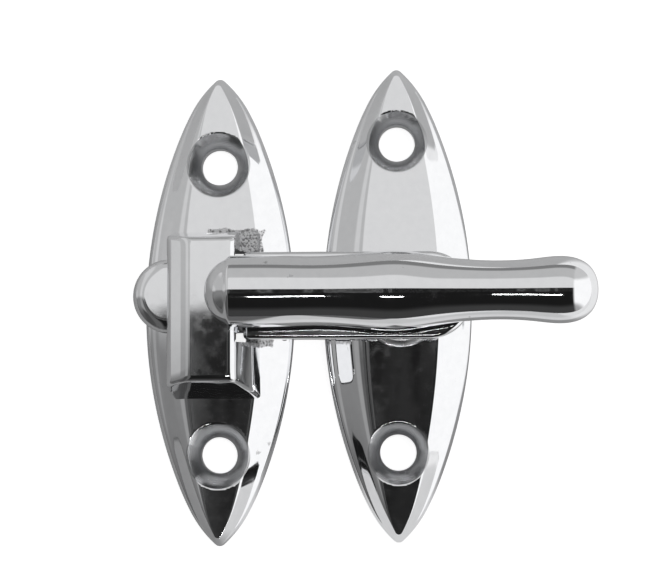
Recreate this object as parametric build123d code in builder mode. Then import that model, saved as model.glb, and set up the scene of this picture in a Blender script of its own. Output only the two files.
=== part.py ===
# Cabinet latch: a sprung pull lever on one pointed oval plate, and its strike on another.
# Millimetres. The origin is the centre of the latch plate's back face.
# +X points to the strike, +Y runs along the plates and +Z stands out of them.
import os
from math import asin, cos, hypot, sin

from build123d import *

os.makedirs("parts", exist_ok=True)

# plates
plate_length = 57.15
plate_width = 18.25
strike_length = 57.7
strike_width = 18.1
strike_x = 21.7
strike_y = 0.7
plate_height = 3.2
land_height = 0.6
lip_height = 1.2
lip_share = 0.925
lip_round = 0.3
ledge_height = 1.4
ledge_share = 0.852
flat_share = 0.565
ridge_round = 0.8
tip_radius = 0.8

# screw holes
hole_diameter = 4.4
sink_angle = 82.0
latch_hole_spacing = 35.2
latch_sink_diameter = 7.8
strike_hole_up = 19.6
strike_hole_down = 18.0
strike_sink_diameter = 7.4

# barrel over the pivot: a steep left side, a long right shoulder and leaning ends
barrel_left = 5.45
barrel_right = 5.2
barrel_low = 10.9
barrel_high = 9.6
brow_left = 5.35
brow_z = 9.8
shoulder_z = 7.3
shoulder_right = 4.5
shoulder_low = 9.9
shoulder_high = 8.9
top_z = 11.9
top_left = 2.9
top_right = 2.8
top_low = 8.6
top_high = 8.0
barrel_round = 0.5
barrel_sink = 1.0
cut_spare = 1.0
left_wall = 1.45
right_wall = 1.1
low_wall = 1.5
high_wall = 1.9
roof = 1.3
swing_start = 1.75
rough_pad_height = 1.2

# pivot pin
pivot_z = 7.3
pin_radius = 1.2
pin_chamfer = 0.2
pin_recess = 0.15
pin_blind_wall = 0.6
pin_seat_gap = 0.02
pin_running_gap = 0.05

# lever
lever_y = 1.4
side_gap = 0.35
hub_radius = 2.75
arm_half = 4.4
arm_low = 0.7
arm_high = 1.3
tail_reach = 9.55
tail_high = 2.0
tail_round = 1.6
bar_start = 3.55
bar_half = 5.15
nose_length = 3.2
bar_low = 1.0
bar_high = 1.3
bar_round = 0.45
web_start = 4.9
web_end = 23.5
web_half = 2.3
web_slope = 1.4

# grip, turned about a line over the bar
grip_rise = 9.2
web_sink = 2.5
grip_start = -0.1
dome_length = 2.5
dome_radius = 3.65
grip_end = 44.05
grip_profile = [
    (2.75, 4.04),
    (8.0, 4.0),
    (12.0, 3.88),
    (16.7, 4.14),
    (21.8, 4.5),
    (26.9, 3.78),
    (32.5, 3.31),
    (37.0, 3.52),
    (40.2, 3.76),
    (42.2, 3.3),
    (43.4, 2.3),
]

# keeper stud and the lever's nose behind it
keeper_shift = 0.4
keeper_radius = 5.2
keeper_foot = 4.85
keeper_rim_z = 5.5
keeper_top_z = 6.0
keeper_bevel = 0.55
shank_radius = 2.4
clinch_radius = 3.2
clinch_height = 0.8
clinch_recess = 0.15
seat_gap = 0.02
nose_gap = 0.15
nose_floor_gap = 0.35
nose_sink = 0.2

# return spring
wire_radius = 0.4
coil_radius = 2.2
coil_pitch = 1.0
coil_turns = 3.75
coil_gap = 0.15
leg_length = 2.05
hook_length = 2.3
hook_hole_gap = 0.05

lever_low_z = pivot_z - bar_low
ceiling_z = top_z - roof
keeper_x = strike_x + keeper_shift
bar_end = keeper_x + keeper_radius + nose_length
grip_axis_z = pivot_z + grip_rise


def oval_face(length, width, tip, x, y, z):
    """A pointed oval: a long arc each side, a tighter arc near each end and a small round tip."""
    half = width / 2
    end = length / 2
    side_x = 0.46 * half
    side_y = 0.815 * end
    drop = half - side_x
    long_radius = (drop * drop + side_y * side_y) / (2 * drop)
    turn = asin(side_y / long_radius)
    tip_centre = end - tip
    away_y = side_y - tip_centre
    reach = side_x * cos(turn) + away_y * sin(turn) - tip
    end_radius = (side_x**2 + away_y**2 - tip**2) / (2 * reach)
    centre_x = side_x - end_radius * cos(turn)
    centre_y = side_y - end_radius * sin(turn)
    span = hypot(centre_x, tip_centre - centre_y)
    meet_x = centre_x - end_radius * centre_x / span
    meet_y = centre_y + end_radius * (tip_centre - centre_y) / span
    mid_x = (side_x + meet_x) / 2 - centre_x
    mid_y = (side_y + meet_y) / 2 - centre_y
    middle = hypot(mid_x, mid_y)
    bend_x = centre_x + end_radius * mid_x / middle
    bend_y = centre_y + end_radius * mid_y / middle
    with BuildSketch(Plane(origin=(x, y, z))) as outline:
        with BuildLine():
            ThreePointArc((side_x, -side_y), (half, 0), (side_x, side_y))
            ThreePointArc((side_x, side_y), (bend_x, bend_y), (meet_x, meet_y))
            ThreePointArc((meet_x, meet_y), (0, end), (-meet_x, meet_y))
            ThreePointArc((-meet_x, meet_y), (-bend_x, bend_y), (-side_x, side_y))
            ThreePointArc((-side_x, side_y), (-half, 0), (-side_x, -side_y))
            ThreePointArc((-side_x, -side_y), (-bend_x, -bend_y), (-meet_x, -meet_y))
            ThreePointArc((-meet_x, -meet_y), (0, -end), (meet_x, -meet_y))
            ThreePointArc((meet_x, -meet_y), (bend_x, -bend_y), (side_x, -side_y))
        make_face()
    return outline.sketch


def oval_plate(length, width, x, y):
    """An upright edge, a rounded lip, a narrow ledge and a bevel up to the flat top."""
    foot = oval_face(length, width, tip_radius, x, y, 0)
    edge = oval_face(length, width, tip_radius, x, y, land_height)
    lip = oval_face(length - 0.35, width * lip_share, 0.85 * tip_radius, x, y, lip_height)
    ledge = oval_face(length - 0.6, width * ledge_share, 0.7 * tip_radius, x, y, ledge_height)
    flat = oval_face(length - 1.2, width * flat_share, 0.5 * tip_radius, x, y, plate_height)
    with BuildPart() as plate:
        extrude(foot, amount=land_height)
        loft([edge, lip], ruled=True)
        loft([lip, ledge], ruled=True)
        loft([ledge, flat], ruled=True)
        ridge = plate.edges().filter_by(lambda edge: abs(edge.center().Z - plate_height) < 0.01)
        fillet(ridge, ridge_round)
        corner = plate.edges().filter_by(lambda edge: abs(edge.center().Z - lip_height) < 0.01)
        fillet(corner, lip_round)
    return plate.part


def crossed_block(side_profile, end_profile):
    """What two profiles share: one seen along Y and one seen along X."""
    with BuildPart() as block:
        with BuildSketch(Plane.XZ):
            with BuildLine():
                Polyline(*side_profile, close=True)
            make_face()
        extrude(amount=plate_length, both=True)
        with BuildSketch(Plane.YZ):
            with BuildLine():
                Polyline(*end_profile, close=True)
            make_face()
        extrude(amount=plate_width, both=True, mode=Mode.INTERSECT)
    return block.part


def barrel_block():
    """The raised housing, with its upper edges rounded."""
    foot_z = plate_height - barrel_sink
    side_profile = [
        (-barrel_left, foot_z),
        (-brow_left, brow_z),
        (-top_left, top_z),
        (top_right, top_z),
        (shoulder_right, shoulder_z),
        (barrel_right, foot_z),
    ]
    end_profile = [
        (-barrel_low, foot_z),
        (-shoulder_low, shoulder_z),
        (-top_low, top_z),
        (top_high, top_z),
        (shoulder_high, shoulder_z),
        (barrel_high, foot_z),
    ]
    with BuildPart() as block:
        add(crossed_block(side_profile, end_profile))
        upper = block.edges().filter_by(lambda edge: edge.center().Z > shoulder_z + 0.3)
        fillet(upper, barrel_round)
    return block.part


def barrel_pocket():
    """The hollow under the barrel, open at the back, where the hub and the spring sit."""
    rise = top_z - shoulder_z
    ceiling_share = (ceiling_z - shoulder_z) / rise
    inner_right = shoulder_right - right_wall
    inner_left = brow_left - left_wall
    ceiling_right = inner_right - ceiling_share * (shoulder_right - top_right)
    inner_low = shoulder_low - low_wall
    inner_high = shoulder_high - high_wall
    side_profile = [
        (-inner_left, -1),
        (-inner_left, brow_z - left_wall / 2),
        (-top_left + left_wall / 2, ceiling_z),
        (ceiling_right, ceiling_z),
        (inner_right, shoulder_z),
        (inner_right, -1),
    ]
    end_profile = [
        (-inner_low, -1),
        (-inner_low, shoulder_z),
        (-inner_low + ceiling_share * (shoulder_low - top_low), ceiling_z),
        (inner_high - ceiling_share * (shoulder_high - top_high), ceiling_z),
        (inner_high, shoulder_z),
        (inner_high, -1),
    ]
    return crossed_block(side_profile, end_profile)


def block_between(low, high):
    """A box from one corner to the other."""
    size = [high[k] - low[k] for k in range(3)]
    middle = [(high[k] + low[k]) / 2 for k in range(3)]
    with BuildPart() as block:
        with Locations(tuple(middle)):
            Box(*size)
    return block.part


def rod_along_y(radius, low, high, x, z):
    """A round rod along Y."""
    with BuildPart() as rod:
        with BuildSketch(Plane(origin=(x, low, z), x_dir=(1, 0, 0), z_dir=(0, 1, 0))):
            Circle(radius)
        extrude(amount=high - low)
    return rod.part


# latch plate: plate and barrel in one casting
notch_low = (top_right, lever_y - bar_half - side_gap, plate_height)
notch_high = (plate_width, lever_y + bar_half + side_gap, 2 * top_z)
swing_low = (swing_start, lever_y - bar_half - side_gap, plate_height)
swing_high = (top_right + cut_spare, lever_y + bar_half + side_gap, ceiling_z)
pad_low = (top_right, lever_y, plate_height + rough_pad_height)
pad_high = (plate_width, 2 * barrel_high, 2 * top_z)
slot_low = (-plate_width, lever_y - arm_half - side_gap, plate_height)
slot_high = (0, lever_y + arm_half + side_gap, pivot_z + tail_high + side_gap)
sink_depth = plate_height
bore_low = -shoulder_low + pin_blind_wall
with BuildPart() as latch_plate:
    add(oval_plate(plate_length, plate_width, 0, 0))
    add(barrel_block())
    add(barrel_pocket(), mode=Mode.SUBTRACT)
    add(block_between(notch_low, notch_high), mode=Mode.SUBTRACT)
    add(block_between(swing_low, swing_high), mode=Mode.SUBTRACT)
    add(block_between(pad_low, pad_high), mode=Mode.SUBTRACT)
    add(block_between(slot_low, slot_high), mode=Mode.SUBTRACT)
    bore = rod_along_y(pin_radius + pin_seat_gap, bore_low, 2 * barrel_high, 0, pivot_z)
    add(bore, mode=Mode.SUBTRACT)
    with Locations((0, latch_hole_spacing / 2, sink_depth), (0, -latch_hole_spacing / 2, sink_depth)):
        CounterSinkHole(hole_diameter / 2, latch_sink_diameter / 2, counter_sink_angle=sink_angle)
latch_plate.part.label = "latch_plate"
export_step(latch_plate.part, "parts/latch_plate.step")

# pivot pin, driven in from the upper end and held in both end walls
pin_low = bore_low + 2 * pin_seat_gap
pin_high = shoulder_high - pin_recess
with BuildPart() as pivot_pin:
    add(rod_along_y(pin_radius, pin_low, pin_high, 0, pivot_z))
    chamfer(pivot_pin.edges().filter_by(GeomType.CIRCLE), pin_chamfer)
pivot_pin.part.label = "pivot_pin"
export_step(pivot_pin.part, "parts/pivot_pin.step")

# lever: tail, hub, bar, nose, web and grip in one casting
tail_centre = -tail_reach + arm_half
bar_centre = bar_end - bar_half
nose_low_z = plate_height + nose_floor_gap
flank = (keeper_radius - keeper_foot) / (keeper_rim_z - plate_height)
nose_foot_x = keeper_x + keeper_foot + flank * (nose_low_z - plate_height) + nose_gap
nose_top_x = nose_foot_x + flank * (lever_low_z + nose_sink - nose_low_z)
spring_hole_y = lever_y - arm_half


def bar_outline(z):
    """The bar seen from above: square at the barrel, half round at the strike."""
    with BuildSketch(Plane(origin=(0, lever_y, z))) as outline:
        with Locations(((bar_start + bar_centre) / 2, 0)):
            Rectangle(bar_centre - bar_start, 2 * bar_half)
        with Locations((bar_centre, 0)):
            Circle(bar_half)
    return outline.sketch


def bar_block():
    """The flat bar with softened upper edges."""
    with BuildPart() as bar:
        extrude(bar_outline(lever_low_z), amount=bar_low + bar_high)
        fillet(bar.faces().sort_by(Axis.Z)[-1].edges(), bar_round)
    return bar.part


def nose_block():
    """The hook under the bar's end, its inner face leaning in under the keeper's rim."""
    with BuildPart() as nose:
        with BuildSketch(Plane(origin=(bar_centre, lever_y, nose_low_z))):
            Circle(bar_half - 0.1)
        extrude(amount=lever_low_z + nose_sink - nose_low_z)
        with BuildSketch(Plane.XZ.offset(-lever_y)):
            with BuildLine():
                Polyline(
                    (nose_foot_x, nose_low_z),
                    (bar_end + nose_sink, nose_low_z),
                    (bar_end + nose_sink, lever_low_z + nose_sink),
                    (nose_top_x, lever_low_z + nose_sink),
                    (nose_foot_x, nose_low_z),
                )
            make_face()
        extrude(amount=2 * bar_half, both=True, mode=Mode.INTERSECT)
    return nose.part


def tail_block():
    """The round thumb end that stands out behind the barrel."""
    with BuildPart() as tail:
        with BuildSketch(Plane(origin=(0, lever_y, pivot_z - arm_low))):
            with Locations((tail_centre / 2, 0)):
                Rectangle(-tail_centre, 2 * arm_half)
            with Locations((tail_centre, 0)):
                Circle(arm_half)
        extrude(amount=arm_low + tail_high)
        rounded = tail.edges().filter_by(lambda edge: edge.center().Z > pivot_z + tail_high - 0.1)
        fillet(rounded.filter_by(GeomType.CIRCLE), tail_round)
    return tail.part


def web_block():
    """The upright between the bar and the grip."""
    foot_z = pivot_z + bar_high - 0.3
    with BuildPart() as web:
        with BuildSketch(Plane.XZ.offset(-lever_y)):
            with BuildLine():
                Polyline(
                    (web_start, foot_z),
                    (web_end, foot_z),
                    (web_end - web_slope, grip_axis_z - web_sink),
                    (web_start + web_slope / 2, grip_axis_z - web_sink),
                    (web_start, foot_z),
                )
            make_face()
        extrude(amount=web_half, both=True)
    return web.part


def grip_body():
    """The turned grip: a low dome, a waist, a swell, a neck and a rounded end."""
    dome_sphere = (dome_radius**2 + dome_length**2) / (2 * dome_length)
    arc_x = 0.25 * dome_length
    arc_r = (dome_sphere**2 - (dome_sphere - arc_x) ** 2) ** 0.5
    first = grip_profile[0]
    with BuildPart() as grip:
        with BuildSketch(Plane(origin=(0, lever_y, grip_axis_z), x_dir=(1, 0, 0), z_dir=(0, -1, 0))):
            with BuildLine():
                ThreePointArc(
                    (grip_start, 0),
                    (grip_start + arc_x, arc_r),
                    (grip_start + dome_length, dome_radius),
                )
                Line((grip_start + dome_length, dome_radius), first)
                Spline(*grip_profile, (grip_end, 0), tangents=[(1, 0), (0, -1)])
                Line((grip_end, 0), (grip_start, 0))
            make_face()
        axis = Axis((0, lever_y, grip_axis_z), (1, 0, 0))
        revolve(axis=axis, revolution_arc=360)
    return grip.part


with BuildPart() as lever:
    add(tail_block())
    add(rod_along_y(hub_radius, spring_hole_y, lever_y + arm_half, 0, pivot_z))
    arm_low_corner = (-0.5, spring_hole_y, lever_low_z)
    arm_high_corner = (bar_start + 0.5, lever_y + arm_half, pivot_z + arm_high)
    add(block_between(arm_low_corner, arm_high_corner))
    add(bar_block())
    add(nose_block())
    add(web_block())
    add(grip_body())
    pin_hole = rod_along_y(pin_radius + pin_running_gap, -plate_width, plate_width, 0, pivot_z)
    add(pin_hole, mode=Mode.SUBTRACT)
    hook_hole = rod_along_y(
        wire_radius + hook_hole_gap,
        spring_hole_y - 1,
        spring_hole_y + hook_length,
        coil_radius,
        pivot_z,
    )
    add(hook_hole, mode=Mode.SUBTRACT)
lever.part.label = "lever"
export_step(lever.part, "parts/lever.step")

# return spring round the pin: one leg under the barrel's roof, one end hooked into the hub
coil_end_y = spring_hole_y - coil_gap - wire_radius
coil_start_y = coil_end_y - coil_pitch * coil_turns
coil_plane = Plane(origin=(0, coil_start_y, pivot_z), x_dir=(0, 0, 1), z_dir=(0, 1, 0))
coil_height = coil_pitch * coil_turns
coil_helix = Helix(pitch=coil_pitch, height=coil_height, radius=coil_radius, lefthand=True)
coil_path = coil_plane * coil_helix
with BuildPart() as return_spring:
    with BuildSketch(Plane(origin=coil_path @ 0, z_dir=coil_path % 0)) as wire_face:
        Circle(wire_radius)
    sweep(sections=wire_face.sketch, path=coil_path, is_frenet=True)
    with Locations((0, coil_start_y, pivot_z + coil_radius), (coil_radius, coil_end_y, pivot_z)):
        Sphere(wire_radius * 1.08)
    leg_start = (0, coil_start_y, pivot_z + coil_radius)
    with BuildSketch(Plane(origin=leg_start, x_dir=(0, 1, 0), z_dir=(1, 0, 0))):
        Circle(wire_radius)
    extrude(amount=leg_length)
    add(
        rod_along_y(
            wire_radius,
            coil_end_y - wire_radius / 2,
            spring_hole_y + hook_length - 2 * hook_hole_gap,
            coil_radius,
            pivot_z,
        )
    )
return_spring.part.label = "return_spring"
export_step(return_spring.part, "parts/return_spring.step")

# strike plate
with BuildPart() as strike_plate:
    add(oval_plate(strike_length, strike_width, strike_x, strike_y))
    shank_hole = shank_radius + seat_gap
    with Locations((keeper_x, strike_y, 0)):
        Cylinder(shank_hole, 3 * plate_height, mode=Mode.SUBTRACT)
    with BuildSketch(Plane(origin=(keeper_x, strike_y, 0))):
        Circle(clinch_radius + seat_gap)
    extrude(amount=clinch_recess + clinch_height + seat_gap, mode=Mode.SUBTRACT)
    up = (strike_x, strike_y + strike_hole_up, plate_height)
    down = (strike_x, strike_y - strike_hole_down, plate_height)
    with Locations(up, down):
        CounterSinkHole(hole_diameter / 2, strike_sink_diameter / 2, counter_sink_angle=sink_angle)
strike_plate.part.label = "strike_plate"
export_step(strike_plate.part, "parts/strike_plate.step")

# keeper stud, clinched into the strike plate
with BuildPart() as keeper_stud:
    with BuildSketch(Plane(origin=(keeper_x, strike_y, 0), x_dir=(1, 0, 0), z_dir=(0, -1, 0))):
        with BuildLine():
            Polyline(
                (0, clinch_recess),
                (clinch_radius - 0.3, clinch_recess),
                (clinch_radius, clinch_recess + 0.3),
                (clinch_radius, clinch_recess + clinch_height),
                (shank_radius, clinch_recess + clinch_height),
                (shank_radius, plate_height + seat_gap),
                (keeper_foot, plate_height + seat_gap),
                (keeper_radius, keeper_rim_z),
                (keeper_radius - keeper_bevel, keeper_top_z),
                (0, keeper_top_z),
                (0, clinch_recess),
            )
        make_face()
    revolve(axis=Axis((keeper_x, strike_y, 0), (0, 0, 1)), revolution_arc=360)
keeper_stud.part.label = "keeper_stud"
export_step(keeper_stud.part, "parts/keeper_stud.step")
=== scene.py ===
import bmesh
import bpy
import numpy as np
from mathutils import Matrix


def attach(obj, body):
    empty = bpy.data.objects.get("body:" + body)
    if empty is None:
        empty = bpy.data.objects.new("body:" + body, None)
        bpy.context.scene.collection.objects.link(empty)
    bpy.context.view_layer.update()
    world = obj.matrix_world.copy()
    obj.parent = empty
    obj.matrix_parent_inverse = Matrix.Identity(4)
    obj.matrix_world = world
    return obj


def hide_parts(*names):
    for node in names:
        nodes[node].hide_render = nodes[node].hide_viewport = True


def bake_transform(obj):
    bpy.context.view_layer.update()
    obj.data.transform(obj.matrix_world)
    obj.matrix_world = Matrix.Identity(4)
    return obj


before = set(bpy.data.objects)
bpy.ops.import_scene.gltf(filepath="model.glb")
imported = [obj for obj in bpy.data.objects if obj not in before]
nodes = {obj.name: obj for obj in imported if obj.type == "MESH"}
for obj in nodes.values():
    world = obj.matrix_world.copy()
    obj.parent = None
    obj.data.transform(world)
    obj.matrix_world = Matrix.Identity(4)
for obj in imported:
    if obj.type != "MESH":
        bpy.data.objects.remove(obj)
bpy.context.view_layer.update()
scene = bpy.context.scene
mm = 0.001
pivotZ = 7.3  # height of the pin's axis over the cabinet's face
print("frame loaded:", sorted(nodes))


def put(tree, source, target):  # a socket is linked, a plain value is set
    if hasattr(source, "bl_idname"):
        tree.links.new(source, target)
    else:
        target.default_value = source


def mathNode(tree, operation, first, second=0.0, third=0.0):
    node = tree.nodes.new("ShaderNodeMath")
    node.operation = operation
    put(tree, first, node.inputs[0])
    put(tree, second, node.inputs[1])
    put(tree, third, node.inputs[2])
    return node.outputs[0]


def stepNode(tree, value, low, high, toLow=0.0, toHigh=1.0):  # smooth step from low to high
    node = tree.nodes.new("ShaderNodeMapRange")
    node.interpolation_type = "SMOOTHSTEP"
    put(tree, value, node.inputs["Value"])
    node.inputs["From Min"].default_value = low
    node.inputs["From Max"].default_value = high
    put(tree, toLow, node.inputs["To Min"])
    put(tree, toHigh, node.inputs["To Max"])
    return node.outputs["Result"]


def mixNode(tree, factor, first, second, kind="FLOAT"):
    node = tree.nodes.new("ShaderNodeMix")
    node.data_type = kind
    firstSocket, secondSocket, result = (2, 3, 0) if kind == "FLOAT" else (6, 7, 2)
    put(tree, factor, node.inputs[0])
    put(tree, first, node.inputs[firstSocket])
    put(tree, second, node.inputs[secondSocket])
    return node.outputs[result]


def noiseNode(tree, vector, scale, detail=2.0, rough=0.5):
    node = tree.nodes.new("ShaderNodeTexNoise")
    put(tree, vector, node.inputs["Vector"])
    node.inputs["Scale"].default_value = scale
    node.inputs["Detail"].default_value = detail
    node.inputs["Roughness"].default_value = rough
    return node.outputs["Fac"]


def bumpNode(tree, height, distance, normal=None):
    node = tree.nodes.new("ShaderNodeBump")
    put(tree, distance, node.inputs["Distance"])
    put(tree, height, node.inputs["Height"])
    if normal is not None:
        put(tree, normal, node.inputs["Normal"])
    return node.outputs["Normal"]


def newMaterial(name):
    material = bpy.data.materials.new(name)
    material.use_nodes = True
    tree = material.node_tree
    return material, tree, tree.nodes["Principled BSDF"]


def boxMask(tree, axes, low, high, soft):  # 1 inside the box, fading over soft at its sides
    mask = 1.0
    for axis, first, last in zip(axes, low, high):
        rise = stepNode(tree, axis, (first - soft) * mm, (first + soft) * mm)
        fall = stepNode(tree, axis, (last - soft) * mm, (last + soft) * mm, 1.0, 0.0)
        mask = mathNode(tree, "MULTIPLY", mask, mathNode(tree, "MULTIPLY", rise, fall))
    return mask


# bright chrome over a hand-polished casting: slow waves, fine polishing haze, small pits
chromeLook = {
    "tint": (0.90, 0.905, 0.915, 1),
    "hazeTint": (0.82, 0.825, 0.84, 1),
    "roughness": 0.03,
    "haze": 0.07,
    "waveScale": 110.0,
    "waveHeight": 0.00003,
    "lineScale": 900.0,
    "lineHeight": 0.0000006,
    "pitScale": 330.0,
    "pitSteps": (0.68, 0.74),  # noise values from which the polish has pits
    "pitShade": 0.62,
}
# turned screw seats, duller than the face round them
sinkLook = {
    "tint": (0.62, 0.625, 0.635, 1),
    "roughness": 0.16,
    "rings": 42000.0,  # turns of the sine per metre, so the marks lie 0.15 mm apart
    "ringHeight": 0.0000016,
    "wander": 0.8,
    "edge": 0.02,
}
# skin of the casting that the polishing wheel didn't reach; its dark speckle also paints shade under the bar
castAndShadeLook = {
    "light": (0.78, 0.78, 0.79, 1),
    "dark": (0.2, 0.2, 0.205, 1),
    "scale": 3600.0,
    "speckSteps": (0.36, 0.54),
    "height": 0.00007,
    "roughness": 0.42,
    "edge": 0.08,
    "drift": 1.2,  # how far the patch's outline wanders, in mm
}


def chromeMaterial(name, look, sinks=(), sinkRadius=0.0, castAndShadeBoxes=()):
    material, tree, shader = newMaterial(name)
    place = tree.nodes.new("ShaderNodeTexCoord").outputs["Object"]
    split = tree.nodes.new("ShaderNodeSeparateXYZ")
    put(tree, place, split.inputs[0])
    axes = split.outputs[:]
    wave = noiseNode(tree, place, look["waveScale"], 1.0)
    fine = noiseNode(tree, place, look["lineScale"], 3.0)
    pits = stepNode(tree, noiseNode(tree, place, look["pitScale"], 4.0, 0.6), *look["pitSteps"])
    colour = mixNode(tree, fine, look["hazeTint"], look["tint"], "RGBA")
    rough = stepNode(tree, fine, 0.35, 0.75, look["roughness"], look["haze"])
    normal = bumpNode(tree, wave, look["waveHeight"])
    normal = bumpNode(tree, fine, look["lineHeight"], normal)
    shade = mathNode(tree, "MULTIPLY_ADD", pits, look["pitShade"] - 1.0, 1.0)
    if sinks:  # sine rings over the distance to the nearest hole's axis
        away = 1.0
        for centreX, centreY in sinks:
            alongX = mathNode(tree, "SUBTRACT", axes[0], centreX * mm)
            alongY = mathNode(tree, "SUBTRACT", axes[1], centreY * mm)
            squareY = mathNode(tree, "MULTIPLY", alongY, alongY)
            squares = mathNode(tree, "MULTIPLY_ADD", alongX, alongX, squareY)
            away = mathNode(tree, "MINIMUM", away, mathNode(tree, "SQRT", squares))
        inner, outer = sinkRadius - sinkLook["edge"], sinkRadius + sinkLook["edge"]
        seat = stepNode(tree, away, inner * mm, outer * mm, 1.0, 0.0)
        rings = mathNode(tree, "SINE", mathNode(tree, "MULTIPLY", away, sinkLook["rings"]))
        rings = mathNode(tree, "MULTIPLY_ADD", noiseNode(tree, place, 1500.0, 2.0), sinkLook["wander"], rings)
        colour = mixNode(tree, seat, colour, sinkLook["tint"], "RGBA")
        rough = mixNode(tree, seat, rough, sinkLook["roughness"])
        shade = mixNode(tree, seat, shade, 1.0)
        normal = bumpNode(tree, rings, mathNode(tree, "MULTIPLY", seat, sinkLook["ringHeight"]), normal)
    for low, high in castAndShadeBoxes:  # cast skin inside each box, with a wandering outline; in the box under the bar it is painted shade
        drift = castAndShadeLook["drift"] * mm
        shift = mathNode(tree, "MULTIPLY_ADD", noiseNode(tree, place, 700.0, 3.0), drift, -drift / 2)
        moved = [mathNode(tree, "ADD", axis, shift) for axis in axes[:2]] + [axes[2]]
        mask = boxMask(tree, moved, low, high, castAndShadeLook["edge"])
        grain = noiseNode(tree, place, castAndShadeLook["scale"], 3.0, 0.6)
        light = stepNode(tree, grain, *castAndShadeLook["speckSteps"])
        speck = mixNode(tree, light, castAndShadeLook["dark"], castAndShadeLook["light"], "RGBA")
        colour = mixNode(tree, mask, colour, speck, "RGBA")
        rough = mixNode(tree, mask, rough, castAndShadeLook["roughness"])
        shade = mixNode(tree, mask, shade, 1.0)
        normal = bumpNode(tree, grain, mathNode(tree, "MULTIPLY", mask, castAndShadeLook["height"]), normal)
    scaled = tree.nodes.new("ShaderNodeVectorMath")
    scaled.operation = "SCALE"
    put(tree, colour, scaled.inputs[0])
    put(tree, shade, scaled.inputs["Scale"])
    put(tree, scaled.outputs[0], shader.inputs["Base Color"])
    put(tree, rough, shader.inputs["Roughness"])
    put(tree, normal, shader.inputs["Normal"])
    shader.inputs["Metallic"].default_value = 1.0
    return material


# brushed pin end and dark spring wire
steelLook = {
    "light": (0.46, 0.46, 0.47, 1),
    "dark": (0.24, 0.24, 0.25, 1),
    "roughness": 0.32,
    "spread": 0.14,
    "scratch": 2600.0,
    "squeeze": (1, 0.15, 1),  # scratches run along the pin
}
wireLook = {
    "light": (0.30, 0.29, 0.28, 1),
    "dark": (0.12, 0.115, 0.11, 1),
    "roughness": 0.38,
    "spread": 0.14,
    "scratch": 1800.0,
    "squeeze": (1, 1, 1),
}


def steelMaterial(name, look):
    material, tree, shader = newMaterial(name)
    stretch = tree.nodes.new("ShaderNodeMapping")
    put(tree, tree.nodes.new("ShaderNodeTexCoord").outputs["Object"], stretch.inputs[0])
    stretch.inputs["Scale"].default_value = look["squeeze"]
    grain = noiseNode(tree, stretch.outputs[0], look["scratch"], 3.0, 0.6)
    put(tree, mixNode(tree, grain, look["dark"], look["light"], "RGBA"), shader.inputs["Base Color"])
    rough = stepNode(tree, grain, 0.3, 0.7, look["roughness"], look["roughness"] + look["spread"])
    put(tree, rough, shader.inputs["Roughness"])
    put(tree, bumpNode(tree, grain, 0.000004), shader.inputs["Normal"])
    shader.inputs["Metallic"].default_value = 1.0
    return material


# shapes: each is a grid of points worked out at once, rows by columns, with columns that wrap round
def gridFaces(rows, columns):
    # the face at a row and column joins that point to the next column's, both again in the row above, and
    # the last column is followed by the first
    first = np.arange(rows - 1)[:, None] * columns
    here = np.arange(columns)
    after = (here + 1) % columns
    quads = np.stack([first + here, first + after, first + after + columns, first + here + columns], axis=-1)
    return quads.reshape(-1, 4)


def closedObject(name, grid):  # the grid's end rows shrink to a line or a point, so merging closes it
    rows, columns = grid.shape[:2]
    mesh = bpy.data.meshes.new(name)
    mesh.from_pydata((grid.reshape(-1, 3) * mm).tolist(), [], gridFaces(rows, columns).tolist())
    shell = bmesh.new()
    shell.from_mesh(mesh)
    bmesh.ops.remove_doubles(shell, verts=shell.verts, dist=2e-7)
    bmesh.ops.dissolve_degenerate(shell, edges=shell.edges, dist=1e-8)
    bmesh.ops.recalc_face_normals(shell, faces=shell.faces)
    shell.to_mesh(mesh)
    shell.free()
    piece = bpy.data.objects.new(name, mesh)
    scene.collection.objects.link(piece)
    return piece


def combine(piece, others, operation):  # joins the others to the piece, or cuts them out of it
    for other in others:
        modifier = piece.modifiers.new("combine", "BOOLEAN")
        modifier.operation = operation
        modifier.object = other
        modifier.solver = "MANIFOLD"
    bpy.context.view_layer.update()
    graph = bpy.context.evaluated_depsgraph_get()
    result = bpy.data.meshes.new_from_object(piece.evaluated_get(graph))
    piece.modifiers.clear()
    piece.data = result
    for other in others:
        bpy.data.objects.remove(other)
    return piece


def finishPiece(piece, body, material, replaced, sharpAngle=38.0):
    # smooth faces, except over edges that turn by more than the sharp angle
    shell = bmesh.new()
    shell.from_mesh(piece.data)
    bmesh.ops.remove_doubles(shell, verts=shell.verts, dist=5e-7)
    bmesh.ops.dissolve_degenerate(shell, edges=shell.edges, dist=1e-7)
    for face in shell.faces:
        face.smooth = True
    limit = float(np.radians(sharpAngle))
    for edge in shell.edges:
        edge.smooth = edge.calc_face_angle(0.0) < limit
    shell.to_mesh(piece.data)
    shell.free()
    piece.data.name = piece.name
    piece.data.materials.clear()
    piece.data.materials.append(material)
    if body:
        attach(piece, body)
    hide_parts(replaced)
    print("piece made:", piece.name, len(piece.data.polygons), "faces")


def roundedCorner(before, corner, after, shareBefore, shareAfter, steps):
    # parabola from a point some way back to one some way on, with the corner as its middle control point
    start = corner + (before - corner) * shareBefore
    end = corner + (after - corner) * shareAfter
    t = np.linspace(0, 1, steps)[:, None, None]
    return (1 - t) ** 2 * start + 2 * t * (1 - t) * corner + t**2 * end


def spans(first, last, steps):  # rows between two rows, neither of them included
    t = np.linspace(0, 1, steps + 2)[1:-1, None, None]
    return first + (last - first) * t


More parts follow.
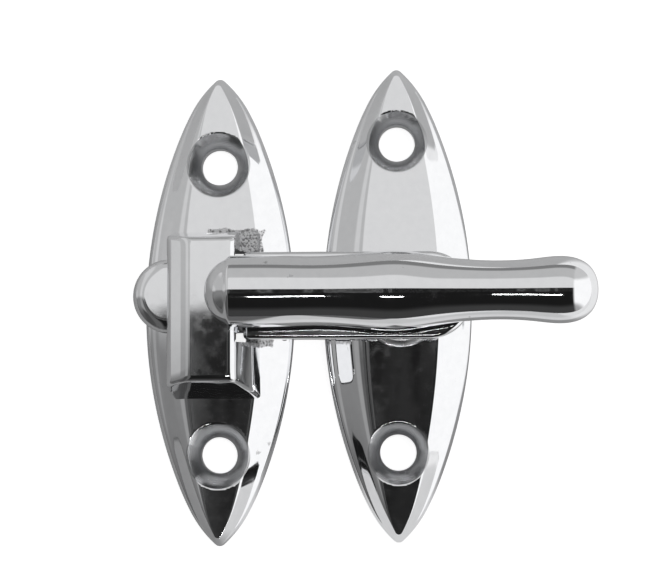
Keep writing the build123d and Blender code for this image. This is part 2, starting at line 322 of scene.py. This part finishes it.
def softTower(knots, inset, cornerRadius, knotShare=0.22, sideSteps=14):
    # stacked rounded rectangles: height, left, right, low and high at each knot, with a parabola where the
    # walls bend and where the last knot turns into the roof, which closes in evenly to a line. Round each
    # rectangle the point is its corner's centre plus the radius times (cos, sin) of the quarter turn
    knots = np.array(knots, float)[:, None, :]
    half = min(knots[-1, 0, 2] - knots[-1, 0, 1], knots[-1, 0, 4] - knots[-1, 0, 3]) / 2
    halfFoot = min(knots[0, 0, 2] - knots[0, 0, 1], knots[0, 0, 4] - knots[0, 0, 3]) / 2
    drawIn = np.array([0, 1, -1, 1, -1], float)  # left and low move up, right and high move down
    roof = knots[-1] + drawIn * inset
    rows = [np.stack([knots[0] + drawIn * halfFoot * share for share in (1.0, 0.5, 0.0)])]
    for k in range(1, len(knots) - 1):
        rows.append(roundedCorner(knots[k - 1], knots[k], knots[k + 1], knotShare, knotShare, 7))
        rows.insert(-1, spans(rows[-2][-1], rows[-1][0], 5))
    rows.append(roundedCorner(knots[-2], knots[-1], roof, min(0.45, knotShare * 1.5), 1.0, 10))
    rows.insert(-1, spans(rows[-2][-1], rows[-1][0], 5))
    closing = [inset + (half - inset) * share for share in (0.1, 0.3, 0.6, 0.85, 1.0)]
    rows.append(np.stack([knots[-1] + drawIn * way for way in closing]))
    z, left, right, low, high = np.moveaxis(np.concatenate(rows), 2, 0)
    arc = np.linspace(0, np.pi / 2, 8)
    line = np.linspace(1, -1, sideSteps)[1:-1]
    still = np.zeros_like(line)
    towardX, towardY, placeX, placeY = [], [], [], []
    for quarter, (cornerX, cornerY) in enumerate([(1, 1), (-1, 1), (-1, -1), (1, -1)]):
        angle = arc + quarter * np.pi / 2
        towardX += [np.cos(angle), still + np.cos(angle[-1])]
        towardY += [np.sin(angle), still + np.sin(angle[-1])]
        placeX += [np.full(8, cornerX), line * cornerX if quarter % 2 == 0 else still + cornerX]
        placeY += [np.full(8, cornerY), still + cornerY if quarter % 2 == 0 else line * cornerY]
    towardX, towardY, placeX, placeY = map(np.concatenate, (towardX, towardY, placeX, placeY))
    halfX, halfY = (right - left) / 2, (high - low) / 2
    radius = np.minimum(cornerRadius, np.minimum(halfX, halfY))
    x = (left + right) / 2 + placeX * (halfX - radius) + towardX * radius
    y = (low + high) / 2 + placeY * (halfY - radius) + towardY * radius
    return np.stack([x, y, np.broadcast_to(z, x.shape)], axis=-1)


def boxGrid(low, high):  # a tower of three equal rectangles, with next to no rounding
    sides = (low[0], high[0], low[1], high[1])
    heights = (low[2], (low[2] + high[2]) / 2, high[2])
    return softTower([(z, *sides) for z in heights], 0.001, 0.001)


def turned(profile, centre, axis, steps):
    # a profile of (along, radius) rows turned about an axis through the centre: radius times cos and sin of
    # the angle across the axis, and the profile's own way along it
    along, radius = np.array(profile, float).T[:, :, None]
    angle = np.linspace(0, 2 * np.pi, steps, endpoint=False)
    cosine, sine, flat = radius * np.cos(angle), radius * np.sin(angle), along + 0 * angle
    order = {"x": (flat, cosine, sine), "y": (sine, flat, cosine), "z": (cosine, sine, flat)}[axis]
    return np.stack(order, axis=-1) + np.array(centre, float)


def splineThrough(points, startWay, endWay, samples):
    # smooth curve through the points: a cubic piece over each chord, whose end directions make the bend
    # carry on evenly from piece to piece, with the first and last direction given
    points = np.array(points, float)
    chord = np.hypot(*np.diff(points, axis=0).T)
    knots = np.concatenate([[0], np.cumsum(chord)])
    size = len(points)
    matrix, wanted = np.eye(size), np.zeros((size, 2))
    wanted[0], wanted[-1] = startWay, endWay
    inner = np.arange(1, size - 1)
    matrix[inner, inner - 1] = chord[1:]
    matrix[inner, inner + 1] = chord[:-1]
    matrix[inner, inner] = 2 * (chord[:-1] + chord[1:])
    slope = np.diff(points, axis=0) / chord[:, None]
    wanted[inner] = 3 * (chord[1:, None] * slope[:-1] + chord[:-1, None] * slope[1:])
    ways = np.linalg.solve(matrix, wanted)
    at = np.linspace(0, knots[-1], samples)
    index = np.clip(np.searchsorted(knots, at, side="right") - 1, 0, size - 2)
    t = ((at - knots[index]) / chord[index])[:, None]
    step = chord[index][:, None]
    start, end = points[index], points[index + 1]
    return (
        (2 * t**3 - 3 * t**2 + 1) * start
        + (t**3 - 2 * t**2 + t) * step * ways[index]
        + (3 * t**2 - 2 * t**3) * end
        + (t**3 - t**2) * step * ways[index + 1]
    )


# the two pointed oval plates
plates = {
    "height": 3.2,
    "levels": [  # back from each tip in total, share of the width, share of the tip radius, height
        (0.0, 1.0, 1.0, 0.0),
        (0.0, 1.0, 1.0, 0.6),
        (0.35, 0.925, 0.85, 1.2),
        (0.6, 0.852, 0.7, 1.4),
        (2.4, 0.565, 0.6, 3.2),
    ],
    "tipRadius": 0.8,
    "arcsMeet": (0.46, 0.815),  # where the long arc ends: share of the half width and of the half length
    "corners": [  # foot, edge, lip and ledge: share rounded before and after, and rows
        (0.01, 0.12, 3),
        (0.3, 0.25, 5),
        (0.35, 0.45, 7),
        (0.3, 0.07, 5),
    ],
    "softRidge": (0.42, 0.24),  # left ridge: share of the bevel and of the flat that is rounded
    "crispRidge": (0.13, 0.05),  # right ridge
    "blend": 1.4,  # reach of the average that takes the corners between the arcs away
    "stations": 260,
    "holeRadius": 2.2,
    "sinkSlope": 0.8693,  # radius gained per height, for seats of 82 degrees
    "sinkRim": [(-0.13, -0.113), (-0.06, -0.03), (-0.015, 0.06), (0.01, 0.16)],  # above the top, past the seat
    "latch": {"at": (0, 0), "length": 57.15, "width": 18.25, "sink": 3.9, "holes": (17.6, -17.6)},
    "strike": {"at": (21.7, 0.7), "length": 57.69, "width": 18.1, "sink": 3.7, "holes": (19.6, -18.0)},
}


def ovalOutline(length, width, tip, share):
    # half width at a share of the half length: a long arc, a tighter arc and a round tip, each touching the
    # next, then a bell-shaped average over the neighbouring widths
    half, end = width / 2, length / 2
    sideX, sideY = plates["arcsMeet"][0] * half, plates["arcsMeet"][1] * end
    drop = half - sideX
    longRadius = (drop**2 + sideY**2) / (2 * drop)
    turn = np.arcsin(sideY / longRadius)
    away = sideY - (end - tip)
    reach = sideX * np.cos(turn) + away * np.sin(turn) - tip
    endRadius = (sideX**2 + away**2 - tip**2) / (2 * reach)
    centreX = sideX - endRadius * np.cos(turn)
    centreY = sideY - endRadius * np.sin(turn)
    span = np.hypot(centreX, end - tip - centreY)
    meetY = centreY + endRadius * (end - tip - centreY) / span

    def widthAt(y):
        y = np.minimum(np.abs(y), end)
        longArc = half - longRadius + np.sqrt(longRadius**2 - y**2)
        endArc = centreX + np.sqrt(np.maximum(endRadius**2 - (y - centreY) ** 2, 0))
        tipArc = np.sqrt(np.maximum(tip**2 - (y - end + tip) ** 2, 0))
        return np.where(y < sideY, longArc, np.where(y < meetY, endArc, tipArc))

    y = end * share
    reachY = plates["blend"] * np.clip((end - np.abs(y) - 0.8) / 4, 0, 1)
    steps = np.linspace(-2, 2, 17)[:, None]
    weight = np.exp(-(steps**2) / 2)
    x = (widthAt(y + steps * reachY) * weight).sum(axis=0) / weight.sum()
    return x, y


def plateSide(plate, sign, ridge):
    # one side of a plate, from the middle of its back round the edge to the middle of its top: the outlines
    # at the five levels, joined by straight rows with a parabola at each corner
    share = np.sin(np.linspace(-np.pi / 2, np.pi / 2, plates["stations"]))
    levels = []
    for back, wide, tip, z in plates["levels"]:
        x, y = ovalOutline(plate["length"] - back, plate["width"] * wide, tip * plates["tipRadius"], share)
        levels.append(np.stack([sign * x + plate["at"][0], y + plate["at"][1], np.full_like(x, z)], axis=-1))
    onAxis = np.array([0, 1, 1])
    axisX = np.array([plate["at"][0], 0, 0])
    back, middle = levels[0] * onAxis + axisX, levels[-1] * onAxis + axisX
    inner = (1 - share**8)[:, None]  # both sides take the crisp ridge at the tips, where they meet
    ridge = [crisp + (own - crisp) * inner for crisp, own in zip(plates["crispRidge"], ridge)]
    line = [back] + levels + [middle]
    rounding = plates["corners"] + [(*ridge, 12)]
    corners = [roundedCorner(*three, *soft) for *three, soft in zip(line, line[1:], line[2:], rounding)]
    rows = [back[None], spans(back, corners[0][0], 2), *corners[:4]]
    rows += [spans(corners[3][-1], corners[4][0], 4), corners[4]]
    rows += [spans(corners[4][-1], middle, 8), middle[None]]
    return np.concatenate(rows)


def plateBody(name, plate):  # up one side and down the other, as one closed shell
    left = plateSide(plate, -1, plates["softRidge"])
    right = plateSide(plate, 1, plates["crispRidge"])[::-1]
    return closedObject(name, np.moveaxis(np.concatenate([left, right]), 0, 1))


def seatCentres(plate):
    return [(plate["at"][0], plate["at"][1] + up) for up in plate["holes"]]


def screwCutters(plate):  # a straight hole, a cone and a narrow softened rim, turned about each hole's axis
    top, hole, sink = plates["height"], plates["holeRadius"], plate["sink"]
    coneFoot = top - (sink - hole) / plates["sinkSlope"]
    profile = [(-1, 0), (-1, hole), (coneFoot - 0.05, hole), (coneFoot + 0.05, hole + 0.06)]
    profile += [(top + up, sink + out) for up, out in plates["sinkRim"]]
    profile += [(top + 2, profile[-1][1]), (top + 2, 0)]
    grids = [turned(profile, (x, y, 0), "z", 120) for x, y in seatCentres(plate)]
    return [closedObject("cutter", grid) for grid in grids]


# the barrel over the pivot, cast in one with the latch plate
barrel = {
    "walls": [  # z, left, right, low, high
        (2.2, -5.45, 5.2, -10.9, 9.6),
        (7.3, -5.39, 4.5, -9.9, 8.9),
        (9.8, -5.35, 3.576, -9.193, 8.41),
        (11.9, -2.9, 2.8, -8.6, 8.0),
    ],
    "roofRound": 0.7,
    "cornerRadius": 0.55,
    "hollow": [  # the room for the hub and the spring, in the same order
        (-1.0, -3.9, 3.4, -8.4, 7.0),
        (7.3, -3.9, 3.4, -8.4, 7.0),
        (9.075, -3.9, 2.743, -7.899, 6.653),
        (10.6, -2.175, 2.181, -7.467, 6.354),
    ],
    "notch": ((2.8, -4.1, 3.15), (18, 6.9, 24)),
    "swing": ((1.75, -4.1, 3.15), (3.8, 6.9, 10.6)),
    "pad": ((2.8, 1.4, 4.4), (18, 19, 24)),
    "slot": ((-18, -3.35, 3.15), (0, 6.15, 9.65)),
    "boreRadius": 1.22,
    "bore": (-9.3, 19.0),
    "castSkinAndShade": [  # boxes where the surface stays as cast, and one of painted shade under the bar: low corner, high corner
        ((1.8, 6.3, 1.3), (5.4, 9.6, 9.6)),
        ((-1.3, 8.9, 3.0), (5.4, 9.75, 4.6)),
        # painted shade under the bar: the cast skin's dark speckle darkens the shoulder and the plate there
        ((3.0, -4.5, 1.0), (6.6, -2.0, 10.0)),
    ],
}


def latchPiece():  # the barrel less its notches, joined to the plate, less the hollow, the bore and the seats
    body = softTower(barrel["walls"], barrel["roofRound"], barrel["cornerRadius"], 0.25, 24)
    body = closedObject("barrel", body)
    cuts = [closedObject("cutter", boxGrid(*barrel[name])) for name in ("notch", "swing", "pad", "slot")]
    combine(body, cuts, "DIFFERENCE")
    plate = plateBody("latch_plate_cast", plates["latch"])
    combine(plate, [body], "UNION")
    low, high = barrel["bore"]
    rod = [(low, 0), (low, barrel["boreRadius"]), (high, barrel["boreRadius"]), (high, 0)]
    cuts = [
        closedObject("cutter", softTower(barrel["hollow"], 0.3, 0.3, 0.05)),
        closedObject("cutter", turned(rod, (0, 0, pivotZ), "y", 72)),
    ]
    return combine(plate, cuts + screwCutters(plates["latch"]), "DIFFERENCE")


# the lever: turned grip, web, flat bar, nose, hub and thumb end in one casting
lever = {
    "y": 1.4,
    "gripZ": 16.5,
    "gripStart": -0.1,
    "domeLength": 2.5,
    "domeRadius": 3.65,
    "gripEnd": 44.05,
    "gripProfile": [
        (2.75, 4.04), (8.0, 4.0), (12.0, 3.88), (16.7, 4.14), (21.8, 4.5), (26.9, 3.78),
        (32.5, 3.31), (37.0, 3.52), (40.2, 3.76), (42.2, 3.3), (43.4, 2.3),
    ],
    "gripSoft": 0.16,
    "bar": {"square": 3.55, "length": 26.95, "way": 1, "half": 5.15, "low": 6.3, "high": 8.6, "round": 0.5},
    "tail": {"square": 0.0, "length": 9.54, "way": -1, "half": 4.4, "low": 6.6, "high": 9.3, "round": 1.6},
    "web": [(8.3, 4.9, 23.5, -0.9, 3.7), (11.0, 5.2, 22.9, -0.9, 3.7), (14.0, 5.6, 22.1, -0.9, 3.7)],
    "arms": ((-0.5, -2.95, 6.35), (4.05, 5.75, 8.55)),
    "hubRadius": 2.75,
    "pinHole": 1.25,
    "hookHole": 0.45,
    "hookAt": 2.2,
    "nose": {"low": 3.55, "high": 6.5, "footX": 27.153, "topX": 27.602, "centre": 25.35, "radius": 5.05},
}


def softBar(shape):
    # seen from above a square end and a half round one: each row is that outline moved in by the row's inset,
    # which is a quarter circle over the upper edge, and the last rows close in on the middle line
    half, length, soft = shape["half"], shape["length"], shape["round"]
    arc = np.linspace(-np.pi / 2, np.pi / 2, 64)
    small = np.linspace(0, np.pi / 2, 9)
    sideIn = np.linspace(1, 0, 24)[1:-1]
    endIn = np.linspace(1, -1, 14)[1:-1]
    edge = half - soft
    along = length - half - soft
    x = [length - half + half * np.cos(arc), soft + along * sideIn, soft - soft * np.sin(small), 0 * endIn]
    x += [soft - soft * np.cos(small), soft + along * sideIn[::-1]]
    y = [half * np.sin(arc), half + 0 * sideIn, edge + soft * np.cos(small), edge * endIn]
    y += [-edge - soft * np.sin(small), -half + 0 * sideIn]
    wayX = [np.cos(arc), 0 * sideIn, -np.sin(small), endIn * 0 - 1, -np.cos(small), 0 * sideIn]
    wayY = [np.sin(arc), 1 + 0 * sideIn, np.cos(small), endIn * 0, -np.sin(small), -1 + 0 * sideIn]
    x, y, wayX, wayY = map(np.concatenate, (x, y, wayX, wayY))
    turn = np.linspace(0, np.pi / 2, 12)
    inset = np.concatenate([[0.12, 0.03, 0.0], [0.0, 0.0], soft * (1 - np.cos(turn))])
    low, high = shape["low"], shape["high"]
    z = [low, low + 0.03, low + 0.12, low + 0.4 * (high - low - soft), low + 0.8 * (high - low - soft)]
    z = np.concatenate([z, high - soft * (1 - np.sin(turn))])
    ring = np.stack([x - wayX * inset[:, None], y - wayY * inset[:, None], z[:, None] + 0 * x], axis=-1)
    middle = np.stack([np.clip(x, half, length - half), 0 * y, 0 * x], axis=-1)
    closeIn = np.array([0.04, 0.12, 0.3, 0.6, 1.0])[:, None, None]
    keep = np.array([1, 1, 0])
    top = ring[-1] + (middle - ring[-1]) * closeIn * keep
    foot = ring[0] + (middle - ring[0]) * closeIn[::-2] * keep
    grid = np.concatenate([foot, ring, top])
    return grid * np.array([shape["way"], 1, 1]) + np.array([shape["square"], lever["y"], 0])


def noseGrid():
    # part of a disc: centre plus radius times (cos, sin) of the turn, cut off by a chord that leans in under
    # the keeper's rim as it goes down; the first and last rows shrink to a point behind the chord
    nose = lever["nose"]
    low, high = nose["low"], nose["high"]
    z = np.array([low, low, low, low + 0.2, 4.5, 5.5, high, high])
    shrink = np.array([1.0, 0.5, 0.05, 0.0, 0.0, 0.0, 0.0, 1.0])[:, None]
    chord = np.interp(z, [low, high], [nose["footX"], nose["topX"]])[:, None]
    turn = np.arccos((chord - nose["centre"]) / nose["radius"])
    share = np.linspace(-1, 1, 40)
    across = np.linspace(1, -1, 18)[1:-1]
    x = np.hstack([nose["centre"] + nose["radius"] * np.cos(turn * share), chord + 0 * across])
    y = np.hstack([nose["radius"] * np.sin(turn * share), nose["radius"] * np.sin(turn) * across])
    x = x + (chord + 1.2 - x) * shrink
    y = y * (1 - shrink) + lever["y"]
    return np.stack([x, y, z[:, None] + 0 * x], axis=-1)


def gripProfile():
    # a low dome as part of a sphere, a small step and a smooth curve through the measured radii, resampled at
    # even steps and softened by a short bell-shaped average
    start, size, radius = lever["gripStart"], lever["domeLength"], lever["domeRadius"]
    sphere = (radius**2 + size**2) / (2 * size)
    angle = np.linspace(0, np.arcsin(radius / sphere), 60)
    dome = np.stack([start + sphere * (1 - np.cos(angle)), sphere * np.sin(angle)], axis=1)
    body = splineThrough(lever["gripProfile"] + [(lever["gripEnd"], 0)], (1, 0), (0, -1), 900)
    path = np.concatenate([dome, body])
    away = np.concatenate([[0], np.cumsum(np.hypot(*np.diff(path, axis=0).T))])
    at = np.linspace(0, away[-1], 400)
    path = np.stack([np.interp(at, away, path[:, 0]), np.interp(at, away, path[:, 1])], axis=1)
    reach = 6
    flipped = path * np.array([1, -1])
    padded = np.concatenate([flipped[reach:0:-1], path, flipped[-2 : -reach - 2 : -1]])
    steps = np.arange(-reach, reach + 1) * (at[1] - at[0]) / lever["gripSoft"]
    bell = np.exp(-(steps**2) / 2)
    bell /= bell.sum()
    soft = np.stack([np.convolve(padded[:, k], bell, "valid") for k in (0, 1)], axis=1)
    soft[[0, -1], 1] = 0
    soft[:, 0] = np.clip(soft[:, 0], start, lever["gripEnd"])
    return soft


def rodGrid(radius, low, high, x, steps=72):  # a straight rod along Y at the pin's height
    return turned([(low, 0), (low, radius), (high, radius), (high, 0)], (x, 0, pivotZ), "y", steps)


def leverPiece():
    grip = turned(gripProfile(), (0, lever["y"], lever["gripZ"]), "x", 112)
    grip = closedObject("lever_cast", grip)
    parts = [
        softTower(lever["web"], 0.2, 0.5, 0.2, 20),
        softBar(lever["bar"]),
        softBar(lever["tail"]),
        noseGrid(),
        boxGrid(*lever["arms"]),
        rodGrid(lever["hubRadius"], -3.0, 5.8, 0),
    ]
    combine(grip, [closedObject("part", part) for part in parts], "UNION")
    cuts = [rodGrid(lever["pinHole"], -18, 18, 0), rodGrid(lever["hookHole"], -4.0, -0.7, lever["hookAt"], 32)]
    return combine(grip, [closedObject("cutter", cut) for cut in cuts], "DIFFERENCE")


# keeper stud: a turned rim over a leaning neck, clinched into the strike plate
keeper = {
    "at": (22.1, 0.7, 0),
    "seat": [(-1, 0), (-1, 3.22), (0.97, 3.22), (0.97, 2.42), (5, 2.42), (5, 0)],  # cut from the strike plate
    "profile": [  # height, radius
        (0.15, 0), (0.15, 1.5), (0.15, 2.8), (0.19, 3.0), (0.32, 3.15), (0.45, 3.2), (0.95, 3.2), (0.95, 2.4),
        (3.22, 2.4), (3.22, 4.85), (4.4, 5.03), (5.35, 5.175), (5.5, 5.18), (5.6, 5.11), (5.88, 4.8),
        (5.97, 4.65), (6.0, 4.45), (6.0, 3.0), (6.0, 1.5), (6.0, 0),
    ],
}

# return spring: wire wound about the pin, its leg under the roof and its hook in the hub
spring = {
    "from": -7.3,
    "to": -3.55,
    "radius": 2.2,
    "turns": 3.75,
    "wire": 0.4,
    "leg": 2.05,
    "hookEnd": -0.8,
    "bend": 0.7,
    "held": (0.45, -0.4),  # past these ways in from its ends the coil begins and ends its winding up
}


def springPiece():
    # a circle carried along the wire's path: leg, coil, bend and hook
    radius, bend, full = spring["radius"], spring["bend"], spring["turns"] * 2 * np.pi
    # coil: x = -radius sin(angle), z = axis height + radius cos(angle), y rising evenly with the angle
    angle = np.linspace(0, full - bend / radius, 300)
    outward = np.stack([-np.sin(angle), 0 * angle, np.cos(angle)], axis=1)
    coil = radius * outward
    coil[:, 1] = spring["from"] + (spring["to"] - spring["from"]) * angle / full
    coil[:, 2] += pivotZ
    # leg: straight, from its free end to the coil's start
    legX = spring["leg"] - np.array([0, 0, 0.05, 0.12])
    legX = np.concatenate([legX, np.linspace(spring["leg"] - 0.3, 0.12, 9)])
    leg = np.stack([legX, 0 * legX + spring["from"], 0 * legX + pivotZ + radius], axis=1)
    # bend: a cubic curve from the coil's last direction into the direction of the hook
    t = np.linspace(0, 1, 14)[1:, None]
    hookStart = np.array([radius, spring["to"] + bend, pivotZ])
    leaving = np.array([-np.cos(angle[-1]), 0, -np.sin(angle[-1])])
    arriving = np.array([0, 1.0, 0])
    second = coil[-1] + leaving * bend * 0.65
    third = hookStart - arriving * bend * 0.65
    curve = (1 - t) ** 3 * coil[-1] + t**3 * hookStart
    curve += 3 * t * (1 - t) ** 2 * second + 3 * t**2 * (1 - t) * third
    # hook: straight along the axis, into the hub
    hookY = np.linspace(hookStart[1] + 0.15, spring["hookEnd"] - 0.25, 8)
    hookY = np.concatenate([hookY, spring["hookEnd"] - np.array([0.12, 0.05, 0, 0])])
    hook = np.stack([0 * hookY + radius, hookY, 0 * hookY + pivotZ], axis=1)
    path = np.concatenate([leg, coil, curve, hook])
    side = np.concatenate([leg * 0 + outward[0], outward, curve * 0 + outward[-1], hook * 0 + outward[-1]])
    way = np.gradient(path, axis=0)
    way[0], way[-1] = way[1], way[-2]
    way /= np.linalg.norm(way, axis=1)[:, None]
    side = side - (side * way).sum(axis=1)[:, None] * way
    side /= np.linalg.norm(side, axis=1)[:, None]
    upright = np.cross(way, side)
    # wire: point plus thickness times (cos side + sin upright), drawn in to a point at both ends
    thick = np.full(len(path), spring["wire"])
    thick[:3] = thick[:-4:-1] = spring["wire"] * np.array([0, 0.72, 0.93])
    turn = np.linspace(0, 2 * np.pi, 20, endpoint=False)[None, :, None]
    ring = np.cos(turn) * side[:, None, :] + np.sin(turn) * upright[:, None, :]
    return closedObject("return_spring_wound", path[:, None, :] + thick[:, None, None] * ring)


# the finish of each piece
plateSeats, strikeSeats = seatCentres(plates["latch"]), seatCentres(plates["strike"])
plateSink, strikeSink = plates["latch"]["sink"], plates["strike"]["sink"]
plateChrome = chromeMaterial("latch plate chrome", chromeLook, plateSeats, plateSink, barrel["castSkinAndShade"])
strikeChrome = chromeMaterial("strike chrome", chromeLook, strikeSeats, strikeSink)
leverChrome = chromeMaterial("lever chrome", chromeLook)
studChrome = chromeMaterial("stud chrome", dict(chromeLook, roughness=0.26, haze=0.34))
pinSteel = steelMaterial("pin steel", steelLook)
wireSteel = steelMaterial("spring steel", wireLook)
finishes = {
    "latch_plate": plateChrome,
    "strike_plate": strikeChrome,
    "lever": leverChrome,
    "keeper_stud": studChrome,
    "pivot_pin": pinSteel,
    "return_spring": wireSteel,
}
for name, node in nodes.items():
    node.data.materials.clear()
    node.data.materials.append(finishes[name])
print("finishes made:", len(finishes))

# the dressed pieces, each in place of its solid
finishPiece(latchPiece(), "plates", plateChrome, "latch_plate")
strike = plateBody("strike_plate_cast", plates["strike"])
cuts = [closedObject("cutter", turned(keeper["seat"], keeper["at"], "z", 96))] + screwCutters(plates["strike"])
finishPiece(combine(strike, cuts, "DIFFERENCE"), "plates", strikeChrome, "strike_plate")
finishPiece(leverPiece(), "lever", leverChrome, "lever")
stud = closedObject("keeper_stud_turned", turned(keeper["profile"], keeper["at"], "z", 144))
finishPiece(stud, "plates", studChrome, "keeper_stud")
coil = springPiece()
finishPiece(coil, None, wireSteel, "return_spring")
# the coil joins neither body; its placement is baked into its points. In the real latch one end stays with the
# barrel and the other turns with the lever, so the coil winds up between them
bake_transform(coil)

# studio: pale paper under a ceiling that is light behind the latch, dark before it and white to its right
studio = {
    "cameraAt": (21.3, -9.9, 197.6),
    "cameraTurn": (0.0605, 0.0384, -0.003),
    "focal": 87.55,
    "paper": 0.5,
    "paperMiddle": (13.7, 2.1),
    "paperHalf": (700, 700),
    "paperGlow": 0.87,  # lifts the paper to white before the camera
    "paperShade": (-58, -30),  # between these the paper falls off into shade toward the front
    "shadeShare": 0.3,
    # share of the glow that the metal mirrors, by where the paper lies
    "mirrorShare": {"middle": 0.03, "back": 0.2, "right": 0.72, "front": 0.5},
    "lampFrom": (21, -80, 230),
    "lampSize": (70, 5),
    "lampWatts": 0.02,
}


def buildCamera():
    camera = bpy.data.cameras.new("camera")
    camera.lens = studio["focal"]
    camera.sensor_width = 36
    camera.clip_start = 0.01
    holder = bpy.data.objects.new("camera", camera)
    scene.collection.objects.link(holder)
    holder.location = [value * mm for value in studio["cameraAt"]]
    holder.rotation_euler = studio["cameraTurn"]
    scene.camera = holder


def buildFloor():
    mesh = bpy.data.meshes.new("floor")
    middle, half = np.array(studio["paperMiddle"]), np.array(studio["paperHalf"])
    signs = np.array([(-1, -1), (1, -1), (1, 1), (-1, 1)])
    corners = np.column_stack([(middle + signs * half) * mm, np.full(4, -0.0001)])
    mesh.from_pydata(corners.tolist(), [], [(0, 1, 2, 3)])
    floor = bpy.data.objects.new("floor", mesh)
    scene.collection.objects.link(floor)
    material, tree, shader = newMaterial("paper")
    shader.inputs["Roughness"].default_value = 1.0
    path = tree.nodes.new("ShaderNodeLightPath").outputs
    split = tree.nodes.new("ShaderNodeSeparateXYZ")
    put(tree, tree.nodes.new("ShaderNodeTexCoord").outputs["Object"], split.inputs[0])
    x, y = split.outputs[:2]
    share = studio["mirrorShare"]
    mirrored = stepNode(tree, y, 0, 25 * mm, share["middle"], share["back"])
    front = stepNode(tree, y, -25 * mm, -20 * mm, 1.0, 0.0)
    front = mathNode(tree, "MULTIPLY", front, stepNode(tree, x, 0, 4 * mm))
    mirrored = mixNode(tree, front, mirrored, share["front"])
    mirrored = stepNode(tree, x, 44 * mm, 60 * mm, mirrored, share["right"])
    seen = mathNode(tree, "ADD", path["Is Camera Ray"], path["Is Transmission Ray"])
    seen = mathNode(tree, "MULTIPLY_ADD", path["Is Glossy Ray"], mirrored, seen)
    reach = [value * mm for value in studio["paperShade"]]
    paper = stepNode(tree, y, *reach, studio["paper"] * studio["shadeShare"], studio["paper"])
    put(tree, paper, shader.inputs["Base Color"])
    lift = stepNode(tree, y, *reach, 1.0, studio["paperGlow"])
    glow = tree.nodes.new("ShaderNodeEmission")
    put(tree, mathNode(tree, "MULTIPLY", seen, lift), glow.inputs["Strength"])
    both = tree.nodes.new("ShaderNodeAddShader")
    put(tree, shader.outputs[0], both.inputs[0])
    put(tree, glow.outputs[0], both.inputs[1])
    put(tree, both.outputs[0], tree.nodes["Material Output"].inputs["Surface"])
    mesh.materials.append(material)


def buildWorld():
    world = bpy.data.worlds.new("studio")
    scene.world = world
    world.use_nodes = True
    tree = world.node_tree
    ground = tree.nodes["Background"]
    split = tree.nodes.new("ShaderNodeSeparateXYZ")
    towards = tree.nodes.new("ShaderNodeTexCoord").outputs["Generated"]
    put(tree, towards, split.inputs[0])
    toX, toY, toZ = split.outputs

    def across(first, last, before, after):  # tone against the direction's x, 1 is white
        return stepNode(tree, toX, first, last, before, after)

    def along(first, last, before, after):  # against its y
        return stepNode(tree, toY, first, last, before, after)

    def upward(first, last, before, after):  # against its z
        return stepNode(tree, toZ, first, last, before, after)

    # behind the latch: a light ceiling, a duller band under it and a grey wall low down
    lightHalf = upward(0.18, 0.28, 0.22, upward(0.72, 0.78, 0.52, 0.76))
    # before it: black overhead and dark grey low down, with upright folds of a little lighter grey
    darkHalf = upward(0.3, 0.6, 0.05, 0.011)
    narrow = tree.nodes.new("ShaderNodeMapping")
    put(tree, towards, narrow.inputs[0])
    narrow.inputs["Scale"].default_value = (90, 9, 1)
    folds = stepNode(tree, noiseNode(tree, narrow.outputs[0], 1.0, 2.0), 0.35, 0.65, 0.5, 1.5)
    grey = across(-0.126, -0.116, 0.085, 0.022)
    grey = across(-0.07, -0.055, grey, 0.085)
    grey = across(-0.027, -0.012, grey, 0.022)
    darkHalf = along(-0.2, -0.13, darkHalf, mathNode(tree, "MULTIPLY", grey, folds))
    tone = along(0.044, 0.056, darkHalf, lightHalf)
    # a little to the left: the same two halves, closer to each other in tone
    tone = across(-0.34, -0.24, along(0.0, 0.06, 0.12, 0.52), tone)
    # left side, from its far wall to the part next to the halves, and its lowest edge
    farWall = along(-0.02, 0.08, along(-0.5, -0.1, 0.1, 0.24), 0.5)
    nearPart = along(-0.3, -0.16, 0.07, along(0.0, 0.08, 0.34, 0.66))
    lowEdge = along(-0.05, 0.06, 0.22, 0.62)
    left = across(-0.82, -0.72, farWall, nearPart)
    left = across(-0.985, -0.965, lowEdge, left)
    tone = across(-0.56, -0.46, left, tone)
    # right side: white, greyer far in front and behind
    right = along(-0.85, -0.65, 0.4, along(0.4, 0.6, 1.1, 0.62))
    tone = across(0.36, 0.46, tone, right)
    put(tree, tone, ground.inputs["Color"])
    ground.inputs["Strength"].default_value = 1.0


def buildLamp():
    light = bpy.data.lights.new("lamp", "AREA")
    light.shape = "RECTANGLE"
    light.size, light.size_y = [value * mm for value in studio["lampSize"]]
    light.energy = studio["lampWatts"]
    lamp = bpy.data.objects.new("lamp", light)
    scene.collection.objects.link(lamp)
    x, y, z = studio["lampFrom"]
    lamp.location = (x * mm, y * mm, z * mm)
    lamp.rotation_euler = (float(np.arctan2(-y, z)), 0, 0)  # looks down at the latch


buildCamera()
buildFloor()
buildWorld()
buildLamp()
scene.view_settings.view_transform = "Standard"
print("studio built")
